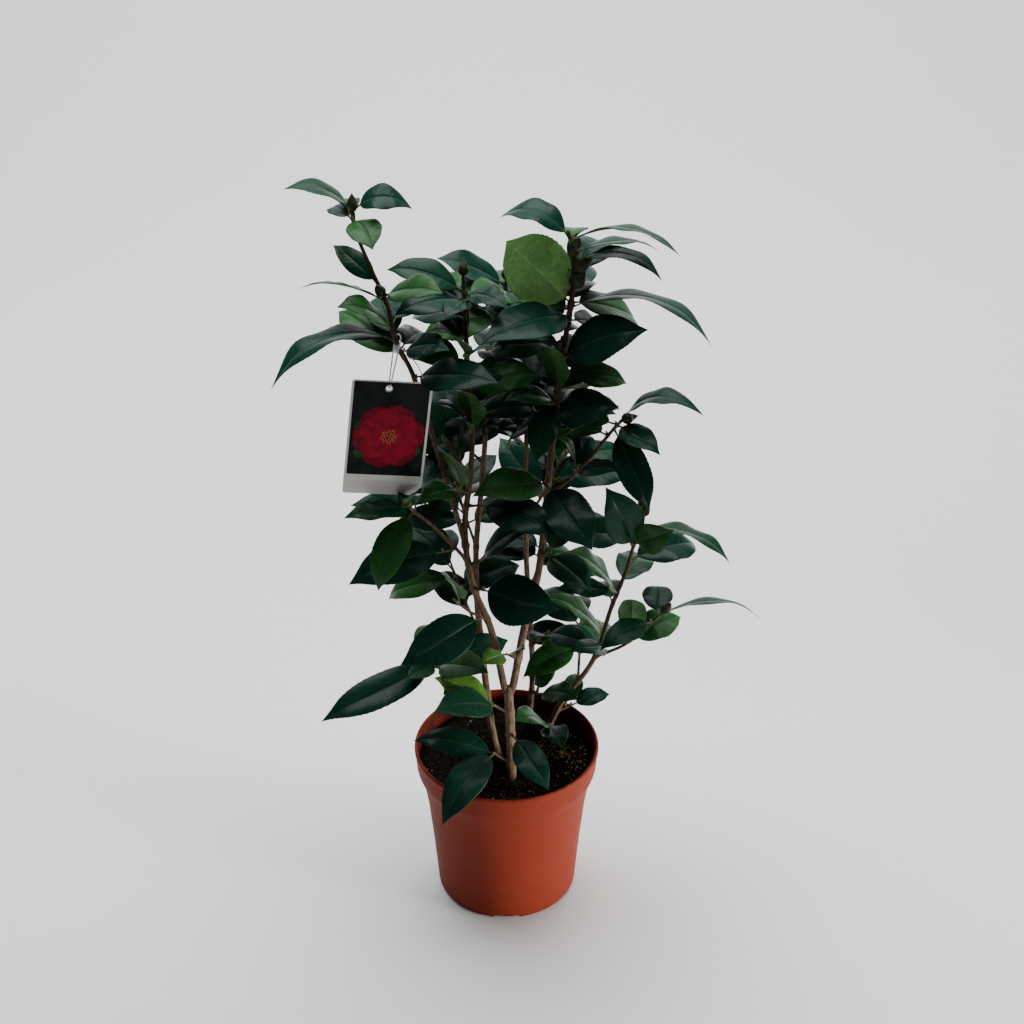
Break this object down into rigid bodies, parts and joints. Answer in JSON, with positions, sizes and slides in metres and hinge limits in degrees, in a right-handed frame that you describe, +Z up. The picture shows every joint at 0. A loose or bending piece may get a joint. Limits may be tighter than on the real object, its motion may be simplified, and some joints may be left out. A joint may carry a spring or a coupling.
{
  "type": "potted camellia shrub",
  "caption": "Young evergreen shrub with glossy pointed leaves on several slender upright stems, in a round tapered nursery pot of soil, with a hanging picture label.",
  "frame": {"origin": "centre of the pot's flat underside", "axes": "+Z up, +Y away from the front view, +X to the right in the front view"},
  "size_m": [0.4045, 0.2472, 0.724],
  "materials": {
    "bark": "rough brown bark",
    "foliage": "glossy dark green leaves",
    "pot": "terracotta-coloured plastic with a slight sheen",
    "soil": "dark crumbly potting soil",
    "label": "printed card with a smooth surface",
    "tie": "white plastic tie"
  },
  "bodies": {
    "root": {"back_left_high_shoot": "foliage", "back_left_low_shoot": "foliage", "back_left_middle_shoot": "foliage", "back_right_high_shoot": "foliage", "back_right_low_shoot": "foliage", "back_right_middle_shoot": "foliage", "centre_front_twig": "foliage", "centre_low_twig": "foliage", "far_left_bough": "bark", "far_left_bough_foliage": "foliage", "foot_left_twig": "foliage", "foot_right_twig": "foliage", "label": "label", "label_tie": "tie", "left_back_shoot": "foliage", "left_cane": "bark", "left_cane_foliage": "foliage", "left_green_twig": "foliage", "left_inner_twig": "foliage", "left_low_bough": "bark", "left_low_bough_foliage": "foliage", "left_low_twig": "foliage", "left_middle_twig": "foliage", "left_upper_twig": "foliage", "lower_left_shoot": "foliage", "main_stem": "bark", "pot": "pot", "rear_cane": "bark", "rear_cane_foliage": "foliage", "rear_foot_twig": "foliage", "rear_left_cane": "bark", "rear_left_cane_foliage": "foliage", "rear_low_twig": "foliage", "right_bough": "bark", "right_bough_foliage": "foliage", "right_cane": "bark", "right_cane_foliage": "foliage", "right_foot_front_twig": "foliage", "right_foot_twig": "foliage", "right_fork_twig": "foliage", "right_low_back_shoot": "foliage", "right_middle_twig": "foliage", "right_side_shoot": "foliage", "shoulder_bough": "bark", "shoulder_bough_foliage": "foliage", "shoulder_twig": "foliage", "soil": "soil", "stem_left_twig": "foliage"}
  },
  "joints": []
}
